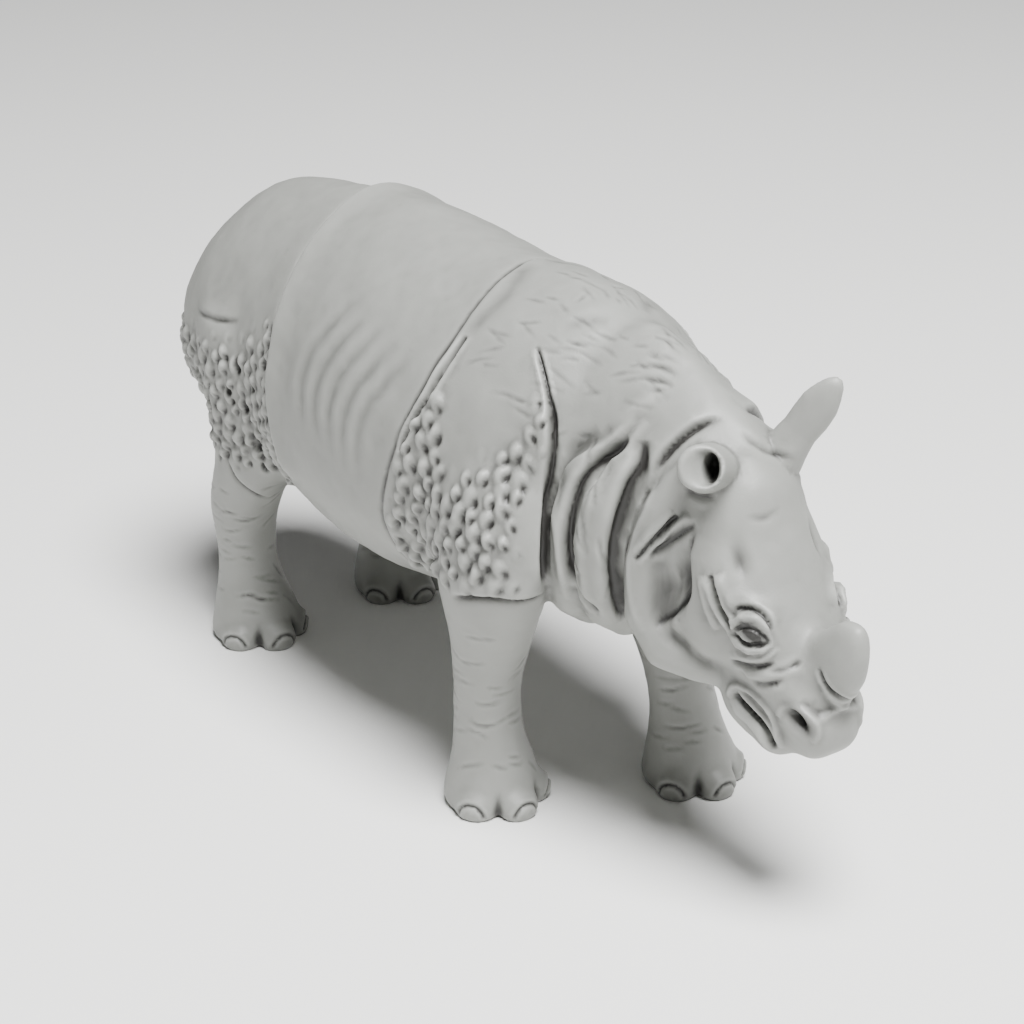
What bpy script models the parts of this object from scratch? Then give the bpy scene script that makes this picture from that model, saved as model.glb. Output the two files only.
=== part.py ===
"""Rhinoceros figurine: an Indian rhinoceros in matt porcelain, standing with its head low.

The animal is one cast piece. It is modelled as a sculptor would: closed clay masses for the trunk,
neck, head, legs, toes, ears and horn are joined and smoothed together, and then the laps between the
plates of the hide are drawn in. Metres, +Z up; the animal faces +X and its left side is +Y. The origin
is on the ground, under the middle of the figure.
"""

import math

import bmesh
import bpy
import numpy as np
from mathutils import Matrix, Vector
from mathutils.bvhtree import BVHTree

# Height of the figurine from its soles to the hump over the shoulders.
SHOULDER_HEIGHT = 0.210
# Every other length of the free form is a share of that height: one UNIT is a two-hundredth of it.
UNIT = SHOULDER_HEIGHT / 200

# Grain of the clay in units, and passes of smoothing: first for the masses, then with the parts on them.
MASS_GRAIN = 2.0
MASS_SMOOTHING = 12
CLAY_GRAIN = 1.5
CLAY_SMOOTHING = 5
# Faces kept in the finished solid.
FACES = 9400

# Trunk from rump to chest. Each station: x, height of the centre, half width, rise, drop.
TRUNK = (
    (-140, 134, 27, 26, 32),
    (-133, 133, 43, 45, 38),
    (-115, 131, 53, 60, 45),
    (-90, 128, 54, 68, 54),
    (-65, 129, 53, 70, 60),
    (-45, 127, 57, 75, 60),
    (-20, 124, 63, 80, 58),
    (15, 122, 66, 79, 57),
    (47, 124, 63, 74, 54),
    (70, 128, 60, 74, 48),
    (95, 138, 52, 62, 46),
    (112, 146, 38, 49, 42),
    (125, 152, 28, 28, 30),
)
# How round a section is above and below its middle: 1 is an ellipse, less is fuller, more is peaked.
TRUNK_FULLNESS = (1.25, 0.9)
NECK_FULLNESS = (1.5, 0.9)
HEAD_FULLNESS = (1.25, 0.88)
# Neck from chest to nape. Each station: x, height, half width, rise, drop, lean of the section in degrees.
NECK = (
    (95, 150, 41, 49, 48, 10),
    (118, 150, 31, 46, 44, 15),
    (138, 148, 28, 39, 42, 25),
    (152, 149, 26, 32, 40, 40),
    (164, 148, 24, 25, 38, 50),
)
# Head, measured from the ears towards the nose. Each station: distance, half width, rise, drop.
HEAD = (
    (-17, 15, 8, 20),
    (-8, 20, 15, 32),
    (6, 23, 18, 42),
    (22, 25, 17, 46),
    (40, 24.5, 14, 42),
    (55, 22.5, 12.5, 35),
    (70, 18, 12, 29),
    (80, 16, 12, 28),
    (90, 14.5, 12, 23),
    (98, 12, 8, 16),
    (103, 7, 4, 9),
)
HEAD_PLACE = (162, 0, 157)
HEAD_PITCH = 54
# Swellings of the head, in head measures: place, and half sizes along, across and out of the forehead.
HEAD_SWELLS = (
    ((56, -14.5, 4), (12, 8, 9)),
    ((45, -14, -20), (17, 10, 14)),
    ((32, -19, 1), (17, 5.5, 5)),
    ((4, -15, 8), (9, 9, 8)),
    ((90, -8, 1), (9, 7.5, 8)),
    ((97, -4, -3), (7, 8.5, 9)),
    ((74, -8, -23), (17, 9.5, 11)),
    ((86, -8, -16), (13, 8.5, 10)),
)
# Horn, a blunt stump on the nose, leant back from it. Each station: height, half length, half width.
HORN_ROOT = (81, 0, 6)
HORN_LEAN = -24
HORN = (
    (0, 12.5, 7.2), (7, 12.5, 7.2), (13, 12.5, 7.2), (19, 11.5, 6.8),
    (25.5, 8.8, 5.8), (30.5, 5.4, 3.8), (32.5, 2, 1.6),
)
# Right ear, a cup that opens outwards and forwards. Each station: distance from the root, half width, half
# height, and how far it is set over towards the nose. The later stations go back down inside.
CUP_ROOT = (175, -17.5, 163.5)
CUP_AIM = (0.69, -0.64, 0.38)
CUP = (
    (-6, 8, 7, 0), (1, 8.2, 7, 0), (6, 9, 7.5, -0.5), (10, 9.8, 8, -1), (12.5, 9.8, 8, -1),
    (13.5, 9, 7.2, -0.5), (12.5, 6.8, 6.4, 1), (9, 3.4, 5.6, 3), (4, 2.4, 4.4, 3.5), (1, 1, 2, 3.5),
)
# Left ear, a leaf that stands up. Each station: distance from the root, half width, half depth, hollow.
LEAF_ROOT = (176, 15, 165)
LEAF_AIM = (0.42, 0.34, 0.84)
LEAF_FACE = (-0.5, 0.8, 0.1)
LEAF = (
    (-6, 8.5, 6, 0), (0, 7, 5.5, 0.5), (6, 6.4, 4.6, 2), (12, 6.8, 4.2, 3.5),
    (18, 6.6, 3.8, 3.5), (23, 5.2, 3.2, 2.6), (27, 3.2, 2.4, 1.2), (29, 1.2, 1, 0),
)
# How flat the hollow of the leaf is across: 1 gives a groove, more a broad scoop with sharp edges.
LEAF_SCOOP = 2.2

# Legs from the sole up. Each station: x, side, height, reach forward, reach back, half width.
FRONT_RIGHT = (
    (79, -38, 1, 19, 18, 19),
    (79, -38, 8, 20.5, 18, 20),
    (79, -38, 18, 17.5, 16, 17),
    (77, -38, 31, 12.5, 12.5, 13),
    (77, -39, 50, 12.5, 12, 12.5),
    (80, -40, 70, 17, 14, 14),
    (84, -42, 88, 24, 19, 17),
    (86, -44, 106, 30, 25, 19),
    (84, -42, 132, 31, 28, 19),
    (80, -34, 155, 25, 22, 15),
)
FRONT_LEFT = (
    (110, 31, 1, 19, 18, 19),
    (110, 31, 8, 20.5, 18, 20),
    (110, 31, 18, 17.5, 16, 17),
    (107, 31, 31, 12.5, 12.5, 13),
    (101, 31, 50, 12.5, 13, 13),
    (92, 31, 70, 17, 16, 16),
    (85, 34, 88, 22, 20, 19),
    (84, 41, 106, 29, 25, 19),
    (84, 42, 132, 31, 28, 19),
    (80, 34, 155, 25, 22, 15),
)
HIND_RIGHT = (
    (-93, -36, 1, 18, 17, 19),
    (-93, -36, 8, 20, 18, 20),
    (-93, -36, 18, 17.5, 16, 17.5),
    (-97, -36, 31, 12.5, 12.5, 12.5),
    (-99, -36, 50, 12.5, 12, 12.5),
    (-98, -37, 66, 18, 14, 15),
    (-91, -37, 82, 27, 13, 14),
    (-86, -39, 104, 34, 17, 15),
    (-88, -40, 130, 36, 24, 18),
    (-92, -36, 155, 28, 26, 19),
)
HIND_LEFT = (
    (-96, 36, 1, 18, 17, 19),
    (-96, 36, 8, 20, 18, 20),
    (-96, 36, 18, 17.5, 16, 17.5),
    (-99, 36, 31, 12.5, 12.5, 12.5),
    (-101, 36, 50, 12.5, 12, 12.5),
    (-100, 37, 66, 18, 14, 15),
    (-92, 37, 82, 27, 13, 14),
    (-86, 39, 104, 34, 17, 15),
    (-88, 40, 130, 36, 24, 18),
    (-92, 36, 155, 28, 26, 19),
)
FEET = ((79, -38), (110, 31), (-93, -36), (-96, 36))
# Toenails round each foot: bearing from straight ahead in degrees, and distance from the foot's middle.
TOES = ((-58, 15.5), (0, 17), (58, 15.5))
TOE_SIZE = (6.5, 8, 7)
TOE_HEIGHT = 8
# Height at which the clay is cut to give flat soles.
SOLE = 4
# Colour and roughness of the unglazed porcelain.
PORCELAIN = (0.38, 0.38, 0.37, 1)
ROUGHNESS = 0.6

# Loose rolls of hide hung round the throat, from the side of the neck down to the middle underneath.
# Each point: x, side, height, thickness.
THROAT_ROLLS = (
    ((138, -15, 168, 3), (131, -24, 158, 4), (124, -31, 147, 6), (121, -34, 131, 7), (119, -34, 113, 7),
     (113, -27, 97, 8), (104, -12, 87, 9)),
    ((147, -18, 162, 4), (142, -26, 152, 6), (137, -31, 140, 8), (135, -32, 126, 9), (134, -30, 112, 9),
     (128, -23, 98, 9), (120, -9, 88, 9)),
    ((151, -17, 156, 5), (149, -21, 142, 7), (148, -22, 124, 8), (147, -20, 108, 8), (140, -9, 94, 8)),
)
# Flap of the cheek, from behind the ear round the jaw.
CHEEK_FLAP = (
    (167, -20, 163, 3.5),
    (158, -25.5, 146, 5.5),
    (152, -27, 124, 6.5),
    (152, -26, 105, 7.5),
    (159, -22, 93, 8),
    (171, -16, 90, 7),
    (184, -11, 88, 4),
)
# Sheet of hide inside the flap, which closes it to the cheek.
CHEEK_SHEET = ((166, -15, 152, 7), (164, -16, 128, 10), (164, -14, 107, 11), (174, -8, 96, 8))

# Tail, pressed against the rump.
TAIL = ((-130, 0, 172, 6), (-139, 0, 155, 6), (-142, 0, 135, 5), (-140, 0, 115, 4), (-137, 0, 102, 5))

# Laps between the plates, as drawn on the right side; those that cross the back start on its middle.
# Each: points of the line, direction of the plate that stands over, and how far it stands out.
BACK_LAPS = (
    (((-50, 0, 200), (-48, -18, 194), (-46, -36, 178), (-43, -47, 162), (-40, -54, 147), (-37, -58, 130),
      (-31, -57, 111), (-22, -56, 99)), (1, 0, 0), 3.2),
    (((51, 0, 198), (55, -18, 192), (58, -36, 179), (57, -50, 162), (53, -59, 145), (48, -62, 127),
      (43, -60, 109), (44, -52, 92), (52, -46, 84)), (1, 0, 0), 2.6),
)
SIDE_LAPS = (
    (((92, -28, 184), (107, -34, 173), (115, -37, 160), (121, -42, 148), (123, -44, 133), (122, -43, 118),
      (119, -40, 102)), (-1, 0, 0), 3),
    (((52, -46, 84), (68, -56, 92), (92, -60, 97), (103, -56, 99), (112, -42, 99)), (0, 0, 1), 2),
    (((-108, -49, 149), (-98, -51, 146), (-88, -52, 147), (-74, -48, 151)), (0, 0, 1), 1.4),
    (((-112, -40, 90), (-98, -50, 86), (-80, -52, 88), (-62, -50, 92)), (0, 0, 1), 1),
    (((168, -2, 176), (163, -13, 175), (160, -22, 169), (157, -27, 160), (154, -29, 148)), (-1, 0, 0.3), 2.4),
)
# Spacing of the points along a lap, and how far from it the hide swells on the upper and lower side.
LAP_STEP = 1.5
LAP_SWELL = 8
LAP_GROOVE = 4
# Width of the step itself, and how far round a lap, in swells, the clay is looked at.
LAP_EDGE = 0.9
LAP_REACH = 2.5
# Length over which an open end of a lap dies away.
LAP_FADE = 9


def head_frame():
    """Carries head measures to the figure: x runs to the nose, y to the left and z out of the forehead."""
    return Matrix.Translation(Vector(HEAD_PLACE)) @ Matrix.Rotation(math.radians(HEAD_PITCH), 4, "Y")


def ring_edges(ring):
    """The edges round a ring of points."""
    return list({edge for point in ring for edge in point.link_edges})


def girth(clay, centre, up, half_width, rise, drop, fullness):
    """One ring round the body, peaked or full above and below its centre."""
    ring = bmesh.ops.create_circle(clay, segments=24, radius=1.0)["verts"]
    for point in ring:
        across, along = point.co.x, point.co.y
        power = fullness[0] if along > 0 else fullness[1]
        width = math.copysign(abs(across) ** power, across) * half_width
        height = along * (rise if along > 0 else drop)
        point.co = Vector((0, 1, 0)) * width + up * height + centre
    return ring_edges(ring)


def skin(clay, rings):
    """Closes a row of rings into one skin."""
    bmesh.ops.contextual_create(clay, geom=rings[0])
    bmesh.ops.contextual_create(clay, geom=rings[-1])
    for first, second in zip(rings, rings[1:]):
        bmesh.ops.bridge_loops(clay, edges=first + second)


def body(clay):
    """Trunk and neck."""
    up = Vector((0, 0, 1))
    skin(clay, [girth(clay, Vector((x, 0, z)), up, wide, rise, drop, TRUNK_FULLNESS)
                for x, z, wide, rise, drop in TRUNK])
    rings = []
    for x, z, wide, rise, drop, lean in NECK:
        leant = Matrix.Rotation(math.radians(lean), 3, "Y") @ up
        rings.append(girth(clay, Vector((x, 0, z)), leant, wide, rise, drop, NECK_FULLNESS))
    skin(clay, rings)


def head(clay):
    """Head with its blunt horn."""
    place = head_frame()
    up = place.to_3x3() @ Vector((0, 0, 1))
    skin(clay, [girth(clay, place @ Vector((x, 0, 0)), up, wide, rise, drop, HEAD_FULLNESS)
                for x, wide, rise, drop in HEAD])
    for (along, across, out), size in HEAD_SWELLS:
        for side in (1, -1):
            spot = place @ Matrix.Translation((along, across * side, out)) @ Matrix.Diagonal((*size, 1))
            bmesh.ops.create_icosphere(clay, subdivisions=3, radius=1, matrix=spot)
    rings = []
    lean = Matrix.Translation(HORN_ROOT) @ Matrix.Rotation(math.radians(HORN_LEAN), 4, "Y")
    for height, half_length, half_width in HORN:
        size = Matrix.Diagonal((half_length, half_width, 1, 1))
        spot = place @ lean @ Matrix.Translation((0, 0, height)) @ size
        ring = bmesh.ops.create_circle(clay, segments=16, radius=1, matrix=spot)["verts"]
        rings.append(ring_edges(ring))
    skin(clay, rings)


def ears(clay):
    """The right ear, a cup open outwards and forwards, and the left, a leaf hollow in front."""
    turn = Vector(CUP_AIM).to_track_quat("Z", "Y").to_matrix().to_4x4()
    rings = []
    for far, half_width, half_height, over in CUP:
        place = Matrix.Translation(CUP_ROOT) @ turn @ Matrix.Translation((over, 0, far))
        place = place @ Matrix.Diagonal((half_width, half_height, 1, 1))
        ring = bmesh.ops.create_circle(clay, segments=24, radius=1, matrix=place)["verts"]
        rings.append(ring_edges(ring))
    skin(clay, rings)
    aim = Vector(LEAF_AIM).normalized()
    face = Vector(LEAF_FACE)
    face = (face - aim * face.dot(aim)).normalized()
    across = aim.cross(face)
    rings = []
    for far, half_width, half_depth, scoop in LEAF:
        ring = bmesh.ops.create_circle(clay, segments=24, radius=1)["verts"]
        for point in ring:
            out, wide = point.co.x, point.co.y
            depth = out * half_depth
            if out > 0:
                depth -= scoop * (1 - abs(wide) ** LEAF_SCOOP)
            point.co = Vector(LEAF_ROOT) + aim * far + face * depth + across * (wide * half_width)
        rings.append(ring_edges(ring))
    skin(clay, rings)


def leg(clay, stations):
    """One leg from the sole up into the body."""
    rings = []
    for x, y, z, fore, back, wide in stations:
        ring = bmesh.ops.create_circle(clay, segments=20, radius=1.0)["verts"]
        for point in ring:
            reach = fore if point.co.x > 0 else back
            point.co = Vector((x + point.co.x * reach, y + point.co.y * wide, z))
        rings.append(ring_edges(ring))
    skin(clay, rings)


def toes(clay):
    """Three broad nails round the front of each foot."""
    for x, y in FEET:
        for bearing, far in TOES:
            turn = Matrix.Rotation(math.radians(bearing), 4, "Z")
            place = Matrix.Translation((x, y, TOE_HEIGHT)) @ turn @ Matrix.Translation((far, 0, 0))
            place = place @ Matrix.Diagonal((*TOE_SIZE, 1))
            bmesh.ops.create_icosphere(clay, subdivisions=3, radius=1, matrix=place)


def roll(clay, points):
    """A round roll of hide along a line of points."""
    rings = []
    for count, (x, y, z, thick) in enumerate(points):
        before = Vector(points[max(count - 1, 0)][:3])
        after = Vector(points[min(count + 1, len(points) - 1)][:3])
        turn = (after - before).to_track_quat("Z", "Y").to_matrix().to_4x4()
        place = Matrix.Translation((x, y, z)) @ turn
        ring = bmesh.ops.create_circle(clay, segments=12, radius=thick, matrix=place)["verts"]
        rings.append(ring_edges(ring))
    skin(clay, rings)


def across_the_middle(points):
    """The same points on the left side of the figure."""
    return tuple((point[0], -point[1], *point[2:]) for point in points)


def rolls(clay):
    """Rolls of the throat, the flap of each cheek, and the tail."""
    for points in THROAT_ROLLS:
        roll(clay, points + across_the_middle(points)[::-1])
    for points in (CHEEK_FLAP, CHEEK_SHEET):
        roll(clay, points)
        roll(clay, across_the_middle(points))
    roll(clay, TAIL)


def worked(clay, *steps):
    """The clay after a row of modifiers, each given as its kind and its settings."""
    bmesh.ops.recalc_face_normals(clay, faces=clay.faces[:])
    mesh = bpy.data.meshes.new("clay")
    clay.to_mesh(mesh)
    clay.free()
    lump = bpy.data.objects.new("clay", mesh)
    bpy.context.collection.objects.link(lump)
    for kind, settings in steps:
        step = lump.modifiers.new(kind.capitalize(), kind)
        for setting, value in settings.items():
            setattr(step, setting, value)
    view = bpy.context.evaluated_depsgraph_get()
    clay = bmesh.new()
    clay.from_mesh(lump.evaluated_get(view).to_mesh())
    bpy.data.objects.remove(lump)
    return clay


def even_line(points):
    """The line through the points, rounded at the corners and stepped evenly."""
    points = np.array(points, float)
    lengths = np.concatenate(([0], np.cumsum(np.linalg.norm(np.diff(points, axis=0), axis=1))))
    steps = np.linspace(0, lengths[-1], max(int(lengths[-1] / LAP_STEP), 2))
    line = np.stack([np.interp(steps, lengths, points[:, axis]) for axis in range(3)], axis=1)
    for _ in range(4):
        line[1:-1] = (line[:-2] + 2 * line[1:-1] + line[2:]) / 4
    return line


def lap_heights(places, tree, points, over, stands):
    """How far one lap moves each place of the clay out or in."""
    line, normals = [], []
    for point in even_line(points):
        spot, normal, _, _ = tree.find_nearest(Vector(point))
        line.append(spot)
        normals.append(normal)
    line, normals = np.array(line), np.array(normals)
    along = np.gradient(line, axis=0)
    along /= np.linalg.norm(along, axis=1)[:, None]
    across = np.array(over, float) - along * (along @ np.array(over, float))[:, None]
    across -= normals * (across * normals).sum(axis=1)[:, None]
    across /= np.linalg.norm(across, axis=1)[:, None]
    run = np.concatenate(([0], np.cumsum(np.linalg.norm(np.diff(line, axis=0), axis=1))))
    margin = LAP_REACH * LAP_SWELL
    near = ((places > line.min(axis=0) - margin) & (places < line.max(axis=0) + margin)).all(axis=1)
    heights = np.zeros(len(places))
    for index in np.flatnonzero(near):
        gap = places[index] - line
        closest = np.argmin((gap * gap).sum(axis=1))
        gap = gap[closest]
        if abs(gap @ normals[closest]) > LAP_SWELL:
            continue
        side = gap @ across[closest]
        length = run[closest] + gap @ along[closest]
        fade = np.clip(min(length, run[-1] - length) / LAP_FADE, 0, 1)
        spread = LAP_SWELL if side > 0 else LAP_GROOVE
        heights[index] = stands * fade * math.tanh(side / LAP_EDGE) * math.exp(-((side / spread) ** 2))
    return heights


def draw_laps(clay):
    """Draws every lap into the clay."""
    clay.normal_update()
    tree = BVHTree.FromBMesh(clay)
    places = np.array([point.co for point in clay.verts])
    heights = np.zeros(len(places))
    for points, over, stands in BACK_LAPS:
        far_side = across_the_middle(points[1:])[::-1]
        heights += lap_heights(places, tree, far_side + points, over, stands)
    for points, over, stands in SIDE_LAPS:
        heights += lap_heights(places, tree, points, over, stands)
        heights += lap_heights(places, tree, across_the_middle(points), over, stands)
    for point, height in zip(clay.verts, heights):
        point.co += point.normal * height


def stand(clay):
    """Cuts the soles flat on the ground, brings the figure to size and puts the origin under it."""
    everything = clay.verts[:] + clay.edges[:] + clay.faces[:]
    bmesh.ops.bisect_plane(clay, geom=everything, plane_co=(0, 0, SOLE), plane_no=(0, 0, 1), clear_inner=True)
    rims = [edge for edge in clay.edges if edge.is_boundary]
    bmesh.ops.holes_fill(clay, edges=rims)
    low = [min(point.co[axis] for point in clay.verts) for axis in range(2)]
    high = [max(point.co[axis] for point in clay.verts) for axis in range(2)]
    middle = Vector(((low[0] + high[0]) / 2, (low[1] + high[1]) / 2, SOLE))
    for point in clay.verts:
        point.co = (point.co - middle) * UNIT


def porcelain():
    """Unglazed grey porcelain."""
    material = bpy.data.materials.new("bisque porcelain")
    material.use_nodes = True
    surface = material.node_tree.nodes["Principled BSDF"]
    surface.inputs["Base Color"].default_value = PORCELAIN
    surface.inputs["Roughness"].default_value = ROUGHNESS
    return material


def build():
    for old in list(bpy.data.objects):
        bpy.data.objects.remove(old)
    clay = bmesh.new()
    body(clay)
    head(clay)
    for stations in (FRONT_RIGHT, FRONT_LEFT, HIND_RIGHT, HIND_LEFT):
        leg(clay, stations)
    clay = worked(
        clay,
        ("SUBSURF", {"levels": 2, "render_levels": 2}),
        ("REMESH", {"mode": "VOXEL", "voxel_size": MASS_GRAIN}),
        ("SMOOTH", {"iterations": int(MASS_SMOOTHING)}),
    )
    ears(clay)
    toes(clay)
    rolls(clay)
    clay = worked(
        clay,
        ("REMESH", {"mode": "VOXEL", "voxel_size": CLAY_GRAIN}),
        ("SMOOTH", {"iterations": int(CLAY_SMOOTHING)}),
    )
    draw_laps(clay)
    clay = worked(clay, ("DECIMATE", {"ratio": FACES / (2 * len(clay.faces))}))
    stand(clay)
    mesh = bpy.data.meshes.new("rhinoceros")
    clay.to_mesh(mesh)
    clay.free()
    mesh.shade_smooth()
    mesh.materials.append(porcelain())
    bpy.context.collection.objects.link(bpy.data.objects.new("rhinoceros", mesh))


build()
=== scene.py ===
"""Looks of the rhinoceros figurine: the whole animal in matt, unglazed porcelain.

The clay is built up as in the part's source, at a finer grain. Then the hide is worked: the laps between
its plates, the rolls of the neck, the creases of the face, the knobs on shoulder and thigh, and the fine
wrinkles of neck and legs. Lengths of the free form are in units, a two-hundredth of the shoulder height.
"""

import math

import bmesh
import bpy
import numpy as np
from mathutils import Matrix, Vector, noise
from mathutils.bvhtree import BVHTree
from mathutils.kdtree import KDTree


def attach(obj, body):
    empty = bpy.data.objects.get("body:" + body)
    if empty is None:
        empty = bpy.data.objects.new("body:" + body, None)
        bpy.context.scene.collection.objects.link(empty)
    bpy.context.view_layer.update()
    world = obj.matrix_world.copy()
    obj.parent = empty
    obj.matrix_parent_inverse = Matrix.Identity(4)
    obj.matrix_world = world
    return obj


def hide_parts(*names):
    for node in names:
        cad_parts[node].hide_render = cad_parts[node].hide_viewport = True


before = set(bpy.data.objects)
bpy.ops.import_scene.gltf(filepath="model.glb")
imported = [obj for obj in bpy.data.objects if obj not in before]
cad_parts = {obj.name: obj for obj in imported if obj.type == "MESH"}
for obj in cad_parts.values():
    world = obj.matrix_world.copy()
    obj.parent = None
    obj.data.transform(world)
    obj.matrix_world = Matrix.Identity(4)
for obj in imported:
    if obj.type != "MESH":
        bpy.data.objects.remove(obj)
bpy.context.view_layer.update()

# Height of the figurine from its soles to its back, and the unit of the free form.
SHOULDER_HEIGHT = 0.210
UNIT = SHOULDER_HEIGHT / 200

# Grain of the clay in units, and passes of smoothing: the masses, the parts on them, and the fine work.
# The masses are rounded first, by so many rounds of subdivision.
MASS_ROUNDING = 2
MASS_GRAIN = 2.0
MASS_SMOOTHING = 12
CLAY_GRAIN = 1.5
CLAY_SMOOTHING = 5
FINE_GRAIN = 0.8
FINE_SMOOTHING = 1
# Triangles kept in the finished figure.
FACES = 190000
# Points round a ring of the body, an ear, a leg, the horn and a roll, and how finely balls are divided.
GIRTH_POINTS = 24
EAR_POINTS = 24
LEG_POINTS = 20
HORN_POINTS = 16
ROLL_POINTS = 12
BALL_FINENESS = 3

# Trunk from rump to chest. Each station: x, height of the centre, half width, rise, drop.
TRUNK = (
    (-140, 134, 27, 26, 32),
    (-133, 133, 43, 45, 38),
    (-115, 131, 53, 60, 45),
    (-90, 128, 54, 68, 54),
    (-65, 129, 53, 70, 60),
    (-45, 127, 57, 75, 60),
    (-20, 124, 63, 80, 58),
    (15, 122, 66, 79, 57),
    (47, 124, 63, 74, 54),
    (70, 128, 60, 74, 48),
    (95, 138, 52, 62, 46),
    (112, 146, 38, 49, 42),
    (125, 152, 28, 28, 30),
)
# How round a section is above and below its middle: 1 is an ellipse, less is fuller, more is peaked.
TRUNK_FULLNESS = (1.25, 0.9)
NECK_FULLNESS = (1.5, 0.9)
HEAD_FULLNESS = (1.25, 0.88)
# Neck from chest to nape. Each station: x, height, half width, rise, drop, lean of the section in degrees.
NECK = (
    (95, 150, 41, 49, 48, 10),
    (118, 150, 31, 46, 44, 15),
    (138, 148, 28, 39, 42, 25),
    (152, 149, 26, 32, 40, 40),
    (164, 148, 24, 25, 38, 50),
)
# Head, measured from the ears towards the nose. Each station: distance, half width, rise, drop.
HEAD = (
    (-17, 15, 8, 20),
    (-8, 20, 15, 32),
    (6, 23, 18, 42),
    (22, 25, 17, 46),
    (40, 23.8, 14, 42),
    (55, 21.6, 12.5, 35),
    (70, 18, 12, 29),
    (80, 16, 12, 28),
    (90, 14.5, 12, 23),
    (98, 12, 8, 16),
    (103, 7, 4, 9),
)
HEAD_PLACE = (162, 0, 157)
HEAD_PITCH = 54
# Swellings of the head, in head measures: place, and half sizes along, across and out of the forehead.
HEAD_SWELLS = (
    ((56, -13.8, 3.5), (12, 7.5, 8)),
    ((45, -14, -20), (17, 10, 14)),
    ((32, -19, 1), (17, 5.5, 5)),
    ((4, -15, 8), (9, 9, 8)),
    ((90, -8, 1), (9, 7.5, 8)),
    ((97, -4, -3), (7, 8.5, 9)),
    ((74, -8, -23), (17, 9.5, 11)),
    ((86, -8, -16), (13, 8.5, 10)),
)
# Horn, a blunt stump on the nose, leant back from it. Each station: height, half length, half width.
HORN_ROOT = (81, 0, 6)
HORN_LEAN = -24
HORN = (
    (0, 12.5, 7.2), (7, 12.5, 7.2), (13, 12.5, 7.2), (19, 11.5, 6.8),
    (25.5, 8.8, 5.8), (30.5, 5.4, 3.8), (32.5, 2, 1.6),
)
# Right ear, a cup that opens outwards and forwards. Each station: distance from the root, half width, half
# height, and how far it is set over towards the nose. The later stations go back down inside.
CUP_ROOT = (175, -17.5, 163.5)
CUP_AIM = (0.69, -0.64, 0.38)
CUP = (
    (-6, 9.6, 8.4, -1), (1, 9, 8.2, -2), (6, 8.4, 8, -2.8), (9, 8, 7.8, -3.2), (10.8, 7.6, 7.5, -3.3),
    (11.6, 6.7, 6.7, -2.9), (10.8, 5.4, 6, -1.8), (8.5, 2.9, 5.4, -0.2), (4, 2, 4.8, 0.5), (0, 1, 2, 0.7),
)
# Left ear, a leaf that stands up. Each station: distance from the root, half width, half depth, hollow.
LEAF_ROOT = (176, 15, 165)
LEAF_AIM = (0.42, 0.34, 0.84)
LEAF_FACE = (-0.5, 0.8, 0.1)
LEAF = (
    (-6, 8.5, 6, 0), (0, 7, 5.5, 0.5), (6, 6.4, 4.6, 2), (12, 6.8, 4.2, 3.5),
    (18, 6.6, 3.8, 3.5), (23, 5.2, 3.2, 2.6), (27, 3.2, 2.4, 1.2), (29, 1.2, 1, 0),
)
# How flat the hollow of the leaf is across: 1 gives a groove, more a broad scoop with sharp edges.
LEAF_SCOOP = 2.2

# Legs from the sole up. Each station: x, side, height, reach forward, reach back, half width.
FRONT_RIGHT = (
    (79, -38, 1, 19, 18, 19),
    (79, -38, 8, 20.5, 18, 20),
    (79, -38, 18, 17.5, 16, 17),
    (77, -38, 31, 12.5, 12.5, 13),
    (77, -39, 50, 12.5, 12, 12.5),
    (80, -40, 70, 17, 14, 14),
    (84, -42, 88, 24, 19, 17),
    (86, -44, 106, 30, 25, 19),
    (84, -42, 132, 31, 28, 19),
    (80, -34, 155, 25, 22, 15),
)
FRONT_LEFT = (
    (110, 31, 1, 19, 18, 19),
    (110, 31, 8, 20.5, 18, 20),
    (110, 31, 18, 17.5, 16, 17),
    (107, 31, 31, 12.5, 12.5, 13),
    (101, 31, 50, 12.5, 13, 13),
    (92, 31, 70, 17, 16, 16),
    (85, 34, 88, 22, 20, 19),
    (84, 41, 106, 29, 25, 19),
    (84, 42, 132, 31, 28, 19),
    (80, 34, 155, 25, 22, 15),
)
HIND_RIGHT = (
    (-93, -36, 1, 18, 17, 19),
    (-93, -36, 8, 20, 18, 20),
    (-93, -36, 18, 17.5, 16, 17.5),
    (-97, -36, 31, 12.5, 12.5, 12.5),
    (-99, -36, 50, 12.5, 12, 12.5),
    (-98, -37, 66, 18, 14, 15),
    (-91, -37, 82, 27, 13, 14),
    (-86, -39, 104, 34, 17, 15),
    (-88, -40, 130, 36, 24, 18),
    (-92, -36, 155, 28, 26, 19),
)
HIND_LEFT = (
    (-96, 36, 1, 18, 17, 19),
    (-96, 36, 8, 20, 18, 20),
    (-96, 36, 18, 17.5, 16, 17.5),
    (-99, 36, 31, 12.5, 12.5, 12.5),
    (-101, 36, 50, 12.5, 12, 12.5),
    (-100, 37, 66, 18, 14, 15),
    (-92, 37, 82, 27, 13, 14),
    (-86, 39, 104, 34, 17, 15),
    (-88, 40, 130, 36, 24, 18),
    (-92, 36, 155, 28, 26, 19),
)
# Middles of the feet: x and side.
FEET = ((79, -38), (110, 31), (-93, -36), (-96, 36))
# Toes round each foot: bearing from straight ahead in degrees, and distance from the foot's middle.
TOES = ((-58, 15.5), (0, 17), (58, 15.5))
TOE_SIZE = (6.5, 8, 7)
TOE_HEIGHT = 8
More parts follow.
